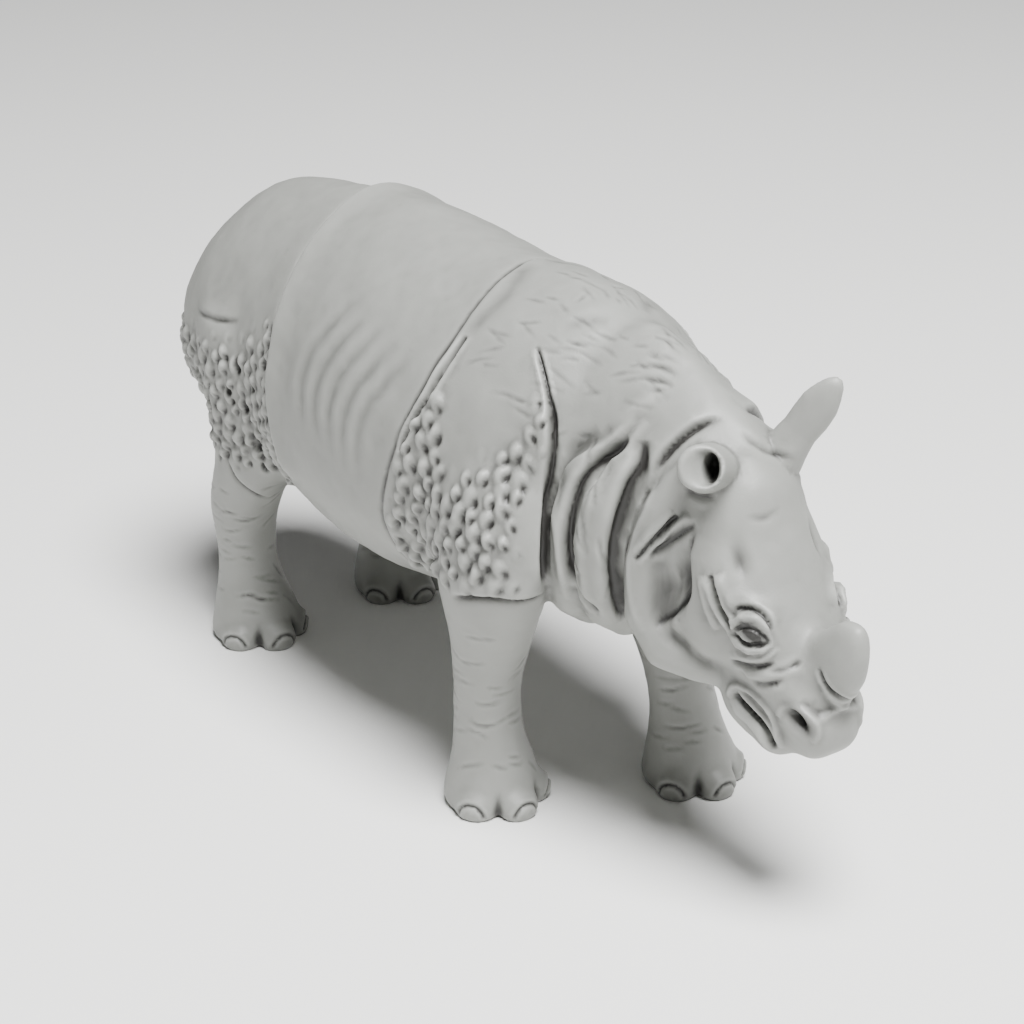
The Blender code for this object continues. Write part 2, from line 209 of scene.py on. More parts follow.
# Edge of a toenail, drawn as an arch: half width, foot and height of the arch, points along it, and the
# furrow's half width, depth, fade at the ends and darkness of the painted shade in it.
NAIL_WIDE = 7
NAIL_FOOT = 4.5
NAIL_TALL = 7.5
NAIL_STEPS = 8
NAIL_FURROW = (0.8, 0.9)
NAIL_FADE = 1
NAIL_DARK = 0.5
# Clefts between the toes: bearings, how far out and up they lie, half sizes, depth and darkness of the
# painted shade in them.
CLEFTS = (-29, 29)
CLEFT_PLACE = (20, 0, 7)
CLEFT_SIZE = (6, 1.7)
CLEFT_DEPTH = 1.8
CLEFT_DARK = 0.5
# Height at which the clay is cut to give flat soles.
SOLE = 4

# Loose rolls of hide hung round the throat, from the side of the neck down to the middle underneath.
# Each point: x, side, height, thickness.
THROAT_ROLLS = (
    ((138, -15, 168, 3), (131, -24, 158, 4), (124, -31, 147, 6), (121, -34, 131, 7), (119, -34, 113, 7),
     (113, -27, 97, 8), (104, -12, 87, 9)),
    ((147, -18, 162, 4), (142, -26, 152, 6), (137, -31, 140, 8), (135, -32, 126, 9), (134, -30, 112, 9),
     (128, -23, 98, 9), (120, -9, 88, 9)),
    ((151, -17, 156, 5), (149, -21, 142, 7), (148, -22, 124, 8), (147, -20, 108, 8), (140, -9, 94, 8)),
)
# Flap of the cheek, from behind the ear round the jaw.
CHEEK_FLAP = (
    (167, -20, 163, 3.5),
    (158, -25.5, 146, 5.5),
    (152, -27, 124, 6.5),
    (152, -26, 105, 7.5),
    (159, -22, 93, 8),
    (171, -16, 90, 7),
    (184, -11, 88, 4),
)
# Sheet of hide inside the flap, which closes it to the cheek.
CHEEK_SHEET = ((166, -15, 152, 7), (164, -16, 128, 10), (164, -14, 107, 11), (174, -8, 96, 8))
# Tail, pressed against the rump.
TAIL = ((-130, 0, 172, 6), (-139, 0, 155, 6), (-142, 0, 135, 5), (-140, 0, 115, 4), (-137, 0, 102, 5))

# Laps between the plates, as drawn on the right side; those that cross the back start on its middle.
# Each: points of the line, direction of the plate that stands over, and how far it stands out.
BACK_LAPS = (
    (((-50, 0, 200), (-48, -18, 194), (-46, -36, 178), (-43, -47, 162), (-40, -54, 147), (-37, -58, 130),
      (-31, -57, 111), (-22, -56, 99)), (1, 0, 0), 3.2),
    (((51, 0, 198), (55, -18, 192), (58, -36, 179), (57, -50, 162), (53, -59, 145), (48, -62, 127),
      (43, -60, 109), (44, -52, 92), (52, -46, 84)), (1, 0, 0), 0.8),
)
# Laps of the side, as seen in the photograph, with left and right as the camera has them.
LEFTWARDS = (-0.588, -0.809, 0)
RIGHTWARDS = (0.588, 0.809, 0)
UPWARDS = (0, 0, 1)
SEEN_LAPS = (
    (((549, 394), (552, 415), (552, 446), (548, 475), (543, 500), (540, 530), (539, 560), (540, 585)),
     LEFTWARDS, 2.6),
    (((452, 595), (472, 595), (497, 596), (526, 597), (544, 593)), UPWARDS, 2.4),
    (((197, 306), (203, 312), (213, 317), (227, 319), (240, 318)), UPWARDS, 0.9),
    (((226, 455), (238, 478), (254, 491), (272, 497)), UPWARDS, 1.4),
    (((722, 416), (711, 419), (698, 425), (685, 434), (671, 446), (660, 459), (652, 474)), LEFTWARDS, 2.0),
    (((657, 631), (669, 620), (684, 607), (693, 594), (692, 576), (689, 553), (698, 530)), RIGHTWARDS, 2.0),
)
# Section across a lap: spread of the swelling on the plate above, and how many times that the lap reaches to
# its sides; spread of the dip below, and its depth as a share of the swelling's height; how soft the step
# between them is, and how far from its ends the lap fades.
LAP_SWELL = 8
LAP_REACH = 2.5
LAP_GROOVE = 2.5
LAP_UNDERCUT = 0.7
LAP_EDGE = 1.0
LAP_FADE = 9
# Groove at the foot of the step: distance from the step, half width and depth, and half width of its painted
# shade. Then the darkest that a lap's painted shade gets.
FOOT_PLACE = 0.9
FOOT_WIDE = 1.1
FOOT_DEPTH = 0.3
FOOT_DARK_WIDE = 1.3
LAP_DARKEST = 0.9
# How much painted shade a fold gets for each unit of its depth.
DARK_OF_DEPTH = 0.35
# Section across a crease, as shares of its half width: reach, place of the lips and half width of its painted
# shade.
CREASE_REACH = 3.5
LIP_PLACE = 1.9
CREASE_DARK_WIDE = 0.7
# How far from its ends a crease fades, how bluntly it ends, and how high its lips stand.
CREASE_FADE = 6
CREASE_BLUNT = 0.7
CREASE_LIPS = 0.3
# Reach of a dent as a share of its half size, and the cosine of the turn past which the hide is left alone.
DENT_REACH = 2.2
DENT_TURN = -0.2
# Spacing of the points along a drawn line, and passes that smooth its path and then its lie on the hide.
LINE_STEP = 1.2
PATH_SMOOTHING = 4
LIE_SMOOTHING = 5
# A line marks only the surface that it lies on. The height off that surface that still counts as on it grows
# with the distance to the line's side; the mark is gone at so many times that height, and fades as the hide
# turns away.
ON_SURFACE = 3
ON_SURFACE_GROWTH = 0.35
OFF_SURFACE = 2.2
TURN_FADE = 3
# Keeps a division by a length of nothing harmless.
TINY = 1e-9

# Waviness of the hand-worked clay: length and height of the waves.
WAVES = ((14, 0.5), (5, 0.18))

# Fired clay: sRGB greys between which the body is mottled, the paler grey of the painted highlight on the
# heights and the dark grey of the painted shade in the folds, pits and hollows. The patches of the mottling
# and the grain of the surface are in metres. The real grain is too fine to show, so it is drawn about a
# millimetre wide.
BODY_GREYS = ("#82837F", "#8A8B87")
PAINTED_HIGHLIGHT_GREY = "#A0A19D"
PAINTED_SHADE_GREY = "#262523"
MOTTLE = 0.012
MOTTLE_DETAIL = 4
GRAIN = 0.0009
GRAIN_DETAIL = 3
GRAIN_HEIGHT = 0.00012
GRAIN_STRENGTH = 0.5
PORCELAIN_IOR = 1.5
PORCELAIN_ROUGHNESS = 0.5
# Hollows, fine and broad: passes that even the clay out, and the depth in units that counts as fully hollow.
# Then how much painted shade a full hollow gets, and how much painted highlight a full height gets.
FINE_HOLLOWS = (10, 0.35)
BROAD_HOLLOWS = (90, 2.0)
CAVITY_SHADE_SHARE = 0.7
PAINTED_HIGHLIGHT_SHARE = 0.8

# Studio, in metres: the floor of white paper, the faint light all round, and the large lamp overhead.
FLOOR_SIZE = 6
FLOOR_WHITE = "#EEEEEC"
FLOOR_ROUGHNESS = 0.9
AROUND_WHITE = "#FFFFFF"
AROUND_STRENGTH = 0.1
LAMP_PLACE = (0.7, -0.15, 1.9)
LAMP_AIM = (0, 0, 0.1)
LAMP_SIZE = 1.0
LAMP_POWER = 135

# Middle of the figure's box in the free form's own places; the frame has its origin under it.
FIGURE_MIDDLE = Vector((43.5, -0.129, SOLE))

# Camera: bearing and height of the view in degrees, place in units, and lens in millimetres.
CAMERA_BEARING = 54
CAMERA_HEIGHT = 23.5
CAMERA_PLACE = Vector((808.9, -559.1, 509.3))
CAMERA_LENS = 96.68
SENSOR = 36
# Nearest distance that the camera draws, in metres.
CAMERA_NEAREST = 0.01
# Width of the photograph in its own pixels. What is drawn as seen is given in these, from its top left.
PHOTO_WIDTH = 1024
# How much nearer or farther than its middle a seen line may run; beyond that a point has missed the fold.
SEEN_DEPTH = 45


def camera_turn():
    """How the camera is turned."""
    bearing, height = math.radians(CAMERA_BEARING), math.radians(CAMERA_HEIGHT)
    level = math.cos(height)
    ahead = Vector((-math.sin(bearing) * level, math.cos(bearing) * level, -math.sin(height)))
    return ahead.to_track_quat("-Z", "Y")


def seen(tree, points):
    """Places on the clay that show at the given points of the photograph, without those that miss."""
    turn = camera_turn()
    far = CAMERA_LENS / SENSOR * PHOTO_WIDTH
    hits = []
    for x, y in points:
        ray = turn @ Vector((x - PHOTO_WIDTH / 2, PHOTO_WIDTH / 2 - y, -far)).normalized()
        spot, _, _, distance = tree.ray_cast(CAMERA_PLACE, ray)
        if spot is not None:
            hits.append((distance, tuple(spot)))
    middle = sorted(distance for distance, _ in hits)[len(hits) // 2]
    return tuple(place for distance, place in hits if abs(distance - middle) < SEEN_DEPTH)


def head_frame():
    """Carries head measures to the figure: x runs to the nose, y to the left and z out of the forehead."""
    return Matrix.Translation(Vector(HEAD_PLACE)) @ Matrix.Rotation(math.radians(HEAD_PITCH), 4, "Y")


def ring_edges(ring):
    """The edges round a ring of points."""
    return list({edge for point in ring for edge in point.link_edges})


def round_ring(clay, place, count, radius=1):
    """The edges of a round ring with the given count of points."""
    return ring_edges(bmesh.ops.create_circle(clay, segments=count, radius=radius, matrix=place)["verts"])


def ball(clay, place, radius=1):
    """A round lump of clay, or an egg if its place is stretched."""
    bmesh.ops.create_icosphere(clay, subdivisions=BALL_FINENESS, radius=radius, matrix=place)


def girth(clay, centre, up, half_width, rise, drop, fullness):
    """One ring round the body, peaked or full above and below its centre."""
    ring = bmesh.ops.create_circle(clay, segments=GIRTH_POINTS, radius=1)["verts"]
    for point in ring:
        across, along = point.co.x, point.co.y
        power = fullness[0] if along > 0 else fullness[1]
        width = math.copysign(abs(across) ** power, across) * half_width
        height = along * (rise if along > 0 else drop)
        point.co = Vector((0, 1, 0)) * width + up * height + centre
    return ring_edges(ring)


def skin(clay, rings):
    """Closes a row of rings into one skin."""
    bmesh.ops.contextual_create(clay, geom=rings[0])
    bmesh.ops.contextual_create(clay, geom=rings[-1])
    for first, second in zip(rings, rings[1:]):
        bmesh.ops.bridge_loops(clay, edges=first + second)


def body(clay):
    """Trunk and neck."""
    up = Vector((0, 0, 1))
    skin(clay, [girth(clay, Vector((x, 0, z)), up, wide, rise, drop, TRUNK_FULLNESS)
                for x, z, wide, rise, drop in TRUNK])
    rings = []
    for x, z, wide, rise, drop, lean in NECK:
        leant = Matrix.Rotation(math.radians(lean), 3, "Y") @ up
        rings.append(girth(clay, Vector((x, 0, z)), leant, wide, rise, drop, NECK_FULLNESS))
    skin(clay, rings)


def head(clay):
    """Head with its blunt horn."""
    place = head_frame()
    up = place.to_3x3() @ Vector((0, 0, 1))
    skin(clay, [girth(clay, place @ Vector((x, 0, 0)), up, wide, rise, drop, HEAD_FULLNESS)
                for x, wide, rise, drop in HEAD])
    for (along, across, out), size in HEAD_SWELLS:
        for side in (1, -1):
            spot = place @ Matrix.Translation((along, across * side, out))
            ball(clay, spot @ Matrix.Diagonal((*size, 1)))
    rings = []
    lean = Matrix.Translation(HORN_ROOT) @ Matrix.Rotation(math.radians(HORN_LEAN), 4, "Y")
    for height, half_length, half_width in HORN:
        size = Matrix.Diagonal((half_length, half_width, 1, 1))
        spot = place @ lean @ Matrix.Translation((0, 0, height)) @ size
        rings.append(round_ring(clay, spot, HORN_POINTS))
    skin(clay, rings)


def ears(clay):
    """The right ear, a cup open outwards and forwards, and the left, a leaf scooped out in front."""
    turn = Vector(CUP_AIM).to_track_quat("Z", "Y").to_matrix().to_4x4()
    rings = []
    for far, half_width, half_height, over in CUP:
        place = Matrix.Translation(CUP_ROOT) @ turn @ Matrix.Translation((over, 0, far))
        place = place @ Matrix.Diagonal((half_width, half_height, 1, 1))
        rings.append(round_ring(clay, place, EAR_POINTS))
    skin(clay, rings)
    aim = Vector(LEAF_AIM).normalized()
    face = Vector(LEAF_FACE)
    face = (face - aim * face.dot(aim)).normalized()
    across = aim.cross(face)
    rings = []
    for far, half_width, half_depth, scoop in LEAF:
        ring = bmesh.ops.create_circle(clay, segments=EAR_POINTS, radius=1)["verts"]
        for point in ring:
            out, wide = point.co.x, point.co.y
            depth = out * half_depth
            if out > 0:
                depth -= scoop * (1 - abs(wide) ** LEAF_SCOOP)
            point.co = Vector(LEAF_ROOT) + aim * far + face * depth + across * (wide * half_width)
        rings.append(ring_edges(ring))
    skin(clay, rings)


def leg(clay, stations):
    """One leg from the sole up into the body."""
    rings = []
    for x, y, z, fore, back, wide in stations:
        ring = bmesh.ops.create_circle(clay, segments=LEG_POINTS, radius=1)["verts"]
        for point in ring:
            reach = fore if point.co.x > 0 else back
            point.co = Vector((x + point.co.x * reach, y + point.co.y * wide, z))
        rings.append(ring_edges(ring))
    skin(clay, rings)


def toes(clay):
    """Three broad toes round the front of each foot."""
    for x, y in FEET:
        for bearing, far in TOES:
            turn = Matrix.Rotation(math.radians(bearing), 4, "Z")
            place = Matrix.Translation((x, y, TOE_HEIGHT)) @ turn @ Matrix.Translation((far, 0, 0))
            ball(clay, place @ Matrix.Diagonal((*TOE_SIZE, 1)))


def roll(clay, points):
    """A round roll of hide along a line of points."""
    rings = []
    for count, (x, y, z, thick) in enumerate(points):
        before = Vector(points[max(count - 1, 0)][:3])
        after = Vector(points[min(count + 1, len(points) - 1)][:3])
        turn = (after - before).to_track_quat("Z", "Y").to_matrix().to_4x4()
        rings.append(round_ring(clay, Matrix.Translation((x, y, z)) @ turn, ROLL_POINTS, thick))
    skin(clay, rings)


def across_the_middle(points):
    """The same points on the left side of the figure."""
    return tuple((point[0], -point[1], *point[2:]) for point in points)


def rolls(clay):
    """Rolls of the throat, the flap of each cheek, and the tail."""
    for points in THROAT_ROLLS:
        roll(clay, points + across_the_middle(points[1:])[::-1])
    for points in (CHEEK_FLAP, CHEEK_SHEET):
        roll(clay, points)
        roll(clay, across_the_middle(points))
    roll(clay, TAIL)


def put_down(clay, name):
    """Makes the clay an object of the scene; the clay given is used up."""
    mesh = bpy.data.meshes.new(name)
    clay.to_mesh(mesh)
    clay.free()
    lump = bpy.data.objects.new(name, mesh)
    bpy.context.collection.objects.link(lump)
    return lump


def worked(clay, *steps):
    """The clay after a row of modifiers, each with its kind and settings; the clay given is used up."""
    bmesh.ops.recalc_face_normals(clay, faces=clay.faces[:])
    lump = put_down(clay, "clay")
    for kind, settings in steps:
        step = lump.modifiers.new(kind.capitalize(), kind)
        for setting, value in settings.items():
            setattr(step, setting, value)
    view = bpy.context.evaluated_depsgraph_get()
    clay = bmesh.new()
    clay.from_mesh(lump.evaluated_get(view).to_mesh())
    bpy.data.objects.remove(lump)
    return clay


def kneaded(clay, grain, passes, *first):
    """The clay as one even, smoothed skin of the given grain."""
    evening = ("REMESH", {"mode": "VOXEL", "voxel_size": grain})
    return worked(clay, *first, evening, ("SMOOTH", {"iterations": passes}))


def finder(clay):
    """Finds the point of the clay that is nearest to a place."""
    near = KDTree(len(clay.verts))
    for index, point in enumerate(clay.verts):
        near.insert(point.co, index)
    near.balance()
    return near


class Hide:
    """The skin of the clay while it is drawn on: how far each place is moved, and how much painted shade it
    gets.
    """

    def __init__(self, clay):
        clay.normal_update()
        self.tree = BVHTree.FromBMesh(clay)
        self.places = np.array([point.co for point in clay.verts])
        self.normals = np.array([point.normal for point in clay.verts])
        self.heights = np.zeros(len(self.places))
        self.shade = np.zeros(len(self.places))
        self.near = finder(clay)

    def line(self, points):
        """Even points along a line laid on the hide, with the hide's normals there."""
        points = np.array(points, float)
        lengths = np.concatenate(([0], np.cumsum(np.linalg.norm(np.diff(points, axis=0), axis=1))))
        steps = np.linspace(0, lengths[-1], max(int(lengths[-1] / LINE_STEP), 3))
        path = np.stack([np.interp(steps, lengths, points[:, axis]) for axis in range(3)], axis=1)
        for _ in range(PATH_SMOOTHING):
            path[1:-1] = (path[:-2] + 2 * path[1:-1] + path[2:]) / 4
        found = [self.tree.find_nearest(Vector(point))[:2] for point in path]
        laid = np.array([(*spot, *normal) for spot, normal in found])
        for _ in range(LIE_SMOOTHING):
            laid[1:-1] = (laid[:-2] + 2 * laid[1:-1] + laid[2:]) / 4
        return laid[:, :3], self.unit(laid[:, 3:])

    @staticmethod
    def unit(ways):
        """The same directions, each a unit long."""
        return ways / (np.linalg.norm(ways, axis=1)[:, None] + TINY)

    def beside(self, points, reach, over=None):
        """Places near a line: which they are, how far to its side, how far along, and how firmly they belong
        to it, from 1 down to 0 where the hide leaves the line's own surface; and the line's length."""
        line, normals = self.line(points)
        along = self.unit(np.gradient(line, axis=0))
        across = np.cross(normals, along) if over is None else np.tile(np.array(over, float), (len(line), 1))
        across = across - along * (across * along).sum(axis=1)[:, None]
        across -= normals * (across * normals).sum(axis=1)[:, None]
        across = self.unit(across)
        run = np.concatenate(([0], np.cumsum(np.linalg.norm(np.diff(line, axis=0), axis=1))))
        low, high = line.min(axis=0) - reach, line.max(axis=0) + reach
        which = np.flatnonzero(((self.places > low) & (self.places < high)).all(axis=1))
        places = self.places[which]
        closest = np.argmin((line * line).sum(axis=1)[None] - 2 * places @ line.T, axis=1)
        gap = places - line[closest]
        side = (gap * across[closest]).sum(axis=1)
        length = run[closest] + (gap * along[closest]).sum(axis=1)
        lift = (gap * normals[closest]).sum(axis=1)
        facing = (self.normals[which] * normals[closest]).sum(axis=1)
        allowed = ON_SURFACE + ON_SURFACE_GROWTH * abs(side)
        firm = np.clip(OFF_SURFACE - abs(lift) / allowed, 0, 1) * np.clip(facing * TURN_FADE, 0, 1)
        keep = (firm > 0) & (abs(side) < reach)
        return which[keep], side[keep], length[keep], firm[keep], run[-1]

    def lap(self, points, over, stands):
        """One plate stands over the next along the line, with painted shade in the groove at the foot of its
        step.
        """
        which, side, length, firm, total = self.beside(points, LAP_REACH * LAP_SWELL, over)
        ends = np.clip(np.minimum(length, total - length) / LAP_FADE, 0, 1) * firm
        spread = np.where(side > 0, LAP_SWELL, LAP_GROOVE)
        rise = np.tanh(side / LAP_EDGE) * np.where(side > 0, 1, LAP_UNDERCUT)
        self.heights[which] += stands * ends * rise * np.exp(-((side / spread) ** 2))
        dark = min(LAP_DARKEST, DARK_OF_DEPTH * stands)
        self.shade[which] += dark * ends * np.exp(-(((side + FOOT_PLACE) / FOOT_DARK_WIDE) ** 2))
        groove = np.exp(-(((side + FOOT_PLACE) / FOOT_WIDE) ** 2))
        self.heights[which] -= FOOT_DEPTH * stands * ends * groove

    def crease(self, points, width, depth, fade=CREASE_FADE, lips=CREASE_LIPS, dark=None):
        """A furrow with raised lips and painted shade along it; a negative depth makes a ridge, which gets no
        shade.
        """
        which, side, length, firm, total = self.beside(points, CREASE_REACH * width)
        ends = np.clip(np.minimum(length, total - length) / fade, 0, 1) ** CREASE_BLUNT * firm
        furrow = np.exp(-((side / width) ** 2))
        lip = np.exp(-(((abs(side) - LIP_PLACE * width) / width) ** 2))
        self.heights[which] += depth * ends * (lips * lip * (depth > 0) - furrow)
        dark = min(1.0, DARK_OF_DEPTH * depth) if dark is None else dark
        furrow_shade = np.exp(-((side / (CREASE_DARK_WIDE * width)) ** 2))
        self.shade[which] += dark * ends * furrow_shade * (depth > 0)

    def dent(self, spot, size, depth, turn, dark=0, crisp=1):
        """A smooth dent, longer along turn, with painted shade in it as dark as given; a negative depth
        swells, and crisp steepens its edge.
        """
        centre, normal, _, _ = self.tree.find_nearest(Vector(spot))
        long = (Vector(turn) - normal * normal.dot(Vector(turn))).normalized()
        wide = normal.cross(long)
        near = self.near.find_range(centre, DENT_REACH * max(size))
        which = np.array([index for _, index, _ in near], int)
        gap = self.places[which] - np.array(centre)
        reach = (gap @ np.array(long) / size[0]) ** 2 + (gap @ np.array(wide) / size[1]) ** 2
        reach += (gap @ np.array(normal) / max(size)) ** 2
        shape = np.exp(-(reach ** crisp)) * (self.normals[which] @ np.array(normal) > DENT_TURN)
        self.heights[which] -= depth * shape
        self.shade[which] += dark * shape

    def press(self, clay):
        """Moves the clay as drawn, and gives back how much painted shade each place gets."""
        for point, height in zip(clay.verts, self.heights):
            point.co += point.normal * height
        return self.shade


# Creases and ridges, as seen in the photograph. Each: points, half width and depth; a depth below nothing is
# a ridge. First those of the neck and body.
BODY_STROKES = (
    (((467, 336), (456, 353), (445, 370), (429, 398), (412, 424), (400, 451)), 1.2, 3.5),
    (((530, 264), (512, 288), (490, 311), (467, 336)), 4, 0.7),
    (((537, 346), (540, 358), (545, 378), (549, 396), (553, 420), (554, 446)), 0.9, 1.8),
    (((645, 352), (655, 356), (664, 361)), 0.9, 0.5),
    (((641, 365), (654, 365), (666, 368), (677, 375)), 1.0, 0.6),
    (((638, 379), (652, 379), (667, 382), (674, 388)), 1.0, 0.6),
    (((646, 392), (658, 391), (669, 389)), 0.9, 0.4),
    (((576, 303), (588, 293)), 0.9, 0.4),
    (((438, 556), (434, 572)), 1.0, 1.4),
    (((631, 439), (615, 453), (596, 465), (579, 486), (571, 512), (568, 541), (571, 569), (584, 597),
      (598, 612)), 2.0, 3.0),
    (((645, 440), (641, 467), (631, 484), (622, 512), (615, 541), (612, 569), (616, 597), (625, 619)),
     2.6, 3.0),
    (((638, 419), (615, 437), (591, 455), (572, 466), (560, 482), (557, 503), (558, 534), (561, 569),
      (568, 600)), 1.8, -1.0),
    (((647, 420), (631, 444), (610, 470), (595, 497), (583, 527), (581, 553), (584, 581), (592, 600)),
     2.0, -1.1),
    (((656, 489), (647, 512), (637, 529), (631, 547), (629, 569), (629, 592), (634, 614), (642, 634)),
     1.4, -0.8),
    (((600, 430), (580, 445), (566, 455)), 3.0, 0.9),
    (((655, 395), (632, 412), (612, 430)), 3.0, -1.2),
    (((560, 330), (585, 318), (610, 322)), 3.0, 0.6),
)
# Those of the face, which end more sharply.
FACE_FADE = 3
FACE_STROKES = (
    (((678, 515), (664, 529), (649, 545), (634, 560)), 1.1, 1.7),
    (((696, 524), (680, 533), (665, 544), (650, 558)), 1.6, 1.0),
    (((672, 510), (657, 524), (643, 541)), 1.5, -1.0),
    (((690, 515), (673, 530), (656, 546)), 1.3, -1.0),
    (((710, 574), (715, 590), (719, 605), (724, 616), (730, 628)), 1.1, 3.2),
    (((703, 574), (706, 592), (711, 610), (719, 629)), 1.6, -1.3),
    (((719, 573), (724, 588), (729, 600), (736, 610)), 1.8, -1.6),
    (((728, 594), (745, 598), (763, 606), (777, 624)), 2.4, -0.9),
    (((735, 609), (745, 606), (757, 609), (767, 617), (772, 630)), 0.9, 1.5),
    (((724, 614), (728, 624), (732, 632)), 0.9, 1.2),
    (((734, 652), (749, 658), (767, 657), (779, 647)), 1.2, -1.0),
    (((732, 660), (745, 665), (760, 667), (776, 663)), 1.1, 1.2),
    (((768, 671), (782, 672), (794, 668), (801, 660)), 1.1, 0.9),
    (((745, 674), (764, 676), (783, 672), (798, 667)), 1.4, -1.0),
    (((752, 683), (768, 684), (784, 680)), 1.2, 0.7),
    (((735, 693), (742, 704), (753, 715), (764, 726), (770, 737), (775, 749)), 1.4, 3.2),
    (((729, 697), (730, 688), (737, 683), (747, 688), (758, 698), (769, 709), (776, 724), (780, 742)),
     1.2, -1.4),
    (((733, 706), (744, 718), (756, 730), (766, 743)), 1.2, -0.9),
    (((778, 717), (780, 709), (792, 707), (807, 714), (817, 724), (820, 736), (811, 744)), 1.4, -1.4),
    (((822, 691), (829, 699), (838, 705), (850, 708), (861, 706)), 1.3, -0.9),
    (((819, 668), (822, 681), (829, 691), (840, 697), (852, 699)), 0.9, 1.2),
    (((733, 631), (742, 626), (752, 627), (762, 634), (769, 643)), 0.7, 1.0),
    (((733, 633), (742, 641), (754, 646), (764, 646), (769, 643)), 0.7, 1.0),
    (((800, 700), (812, 712), (826, 718)), 2.0, 0.7),
    (((684, 490), (700, 498), (716, 496)), 1.4, 0.8),
)
# Those on the top of the head, which are fainter, with lighter painted shade, and aren't repeated on its left
# side.
CROWN_DARK = 0.2
CROWN_STROKES = (
    (((741, 431), (751, 444), (764, 451), (782, 456), (797, 459)), 1.3, 0.6),
    (((744, 515), (758, 521), (771, 516), (778, 507)), 1.3, 0.35),
)
# Hollows of the face. Each: middle, a point in the direction it is longest, half sizes, depth and darkness of
# the painted shade in it.
FACE_HOLLOWS = (
    ((673, 586), (688, 545), (13, 5), 4.5, 0.25),
    ((684, 583), (686, 555), (8, 2.5), 2.2, 0.3),
    ((740, 562), (744, 577), (5.5, 3), 2.4, 0.15),
    ((756, 489), (770, 480), (9, 9), -1.2, 0),
    ((720, 540), (735, 520), (9, 6), 1.0, 0),
    ((827, 707), (815, 695), (8, 4), 1.2, 0),
    ((710, 640), (722, 655), (12, 9), -1.5, 0),
)
# Eye: middle of the ball, its size and how deep it is set, and its pupil, a shallow dent with dark painted
# shade.
EYE = (749, 634)
EYE_SIZE = 5.6
EYE_SINK = 4.0
PUPIL = ((750, 634), (759, 640), (3.4, 2.0), 0.8, 4)
# Lids above and below it: their thickness, the share of it left at the corners, and how far they stand off
# the skin there, and how much more in the middle.
UPPER_LID = ((730, 632), (733, 623), (742, 617), (756, 619), (767, 629), (773, 644))
LOWER_LID = ((730, 633), (738, 643), (751, 650), (763, 650), (773, 645))
LID_THICK = 1.25
LID_CORNER = 0.5
LID_STAND = 0.2
LID_BOW = 1.1
# Nostril: middle, a point in the direction it is longest, half sizes, depth and darkness of the painted shade
# in it.
NOSTRIL = ((796, 723), (808, 735), (5.4, 2.9), 7, 1.4)

# Ribs that show through the flank plate: how many, the first as seen in the photograph, the way to the next,
# and their half width, depth, fade at the ends, lips and darkness of the painted shade along them.
RIBS = 5
FIRST_RIB = ((357, 299), (330, 326), (309, 353), (300, 380), (301, 407), (306, 430))
NEXT_RIB = (14, 14)
RIB_FURROW = (3.0, 0.5)
RIB_FADE = 16
RIB_LIPS = 0.6
RIB_DARK = 0.1
# Deep pits in the knobbed hide behind the flank plate, as seen in the photograph, and their shape and painted
# shade.
PITS = (
    (270, 331), (268, 348), (264, 364), (253, 386), (269, 401), (245, 405),
    (258, 427), (259, 446), (275, 452), (287, 475), (265, 468), (237, 364), (228, 392),
)
PIT_SIZE = (2.4, 1.5)
PIT_DEPTH = 2
PIT_WAY = (0.2, 0, -1)
PIT_DARK = 1.0
PIT_CRISP = 1.5

# Where the knobs lie on the shoulder plate. Their upper edge: share of the way from the rear lap to the front
# one, and height. Their lower edge: x and height. Then how far out to the side they start.
SHOULDER_TOP = ((0, 176), (0.2, 172), (0.45, 141), (0.7, 156), (1, 184))
SHOULDER_HEM = ((50, 87), (70, 93), (90, 100), (115, 104))
SHOULDER_SIDE = 34
# Distances from the laps, the upper edge and the hem over which they come in.
SHOULDER_BACK_MARGIN = (2, 5)
SHOULDER_FRONT_MARGIN = (1, 4)
SHOULDER_TOP_MARGIN = (0, 16)
SHOULDER_HEM_MARGIN = (0, 3)
# Where they lie on the hind quarter: x and height of their upper edge, its margins, the heights over which
# they come in below, and the x that they stay behind.
THIGH_TOP = ((-140, 146), (-100, 143), (-70, 148), (-45, 166))
THIGH_FRONT_MARGIN = (2, 6)
THIGH_TOP_MARGIN = (0, 12)
THIGH_FOOT = (86, 92)
THIGH_FRONT = -40
# Knobs of the shoulder and the thigh: gap between them, least and greatest half size, height, and the seed of
# their scatter.
SHOULDER_KNOBS = (5.4, (1.8, 2.9), 1.9, 5)
THIGH_KNOBS = (5.2, (1.7, 2.6), 1.7, 8)
# Least share at which a knob still grows. Where they thin out the gap between them widens and they shrink.
KNOB_LEAST = 0.05
KNOB_SPARSE = 1.7
KNOB_THINNING = 0.7
KNOB_SMALL = 0.75
KNOB_GAIN = 0.25
# Shape of a knob: half sizes along and across as shares of its size, its least and greatest height, how crisp
# its edge is, how far it is turned either way from upright, and how much of that turn it keeps.
KNOB_SHAPE = (1.25, 0.95)
KNOB_HEIGHTS = (0.6, 1.2)
KNOB_CRISP = 1.7
KNOB_TURN = 0.6
KNOB_LEAN = 0.8
# Pit beside a knob, in shares of the knob's size: range of its place forwards and up, where below nothing is
# down, then its distance, half sizes, least and greatest depth, and darkness of the painted shade in it.
SCOOP_FORWARDS = (0.5, 1)
SCOOP_UP = (-1, -0.2)
SCOOP_FAR = 1.1
SCOOP_SHAPE = (0.8, 0.5)
SCOOP_DEPTHS = (0.3, 1.0)
SCOOP_DARK = 0.7

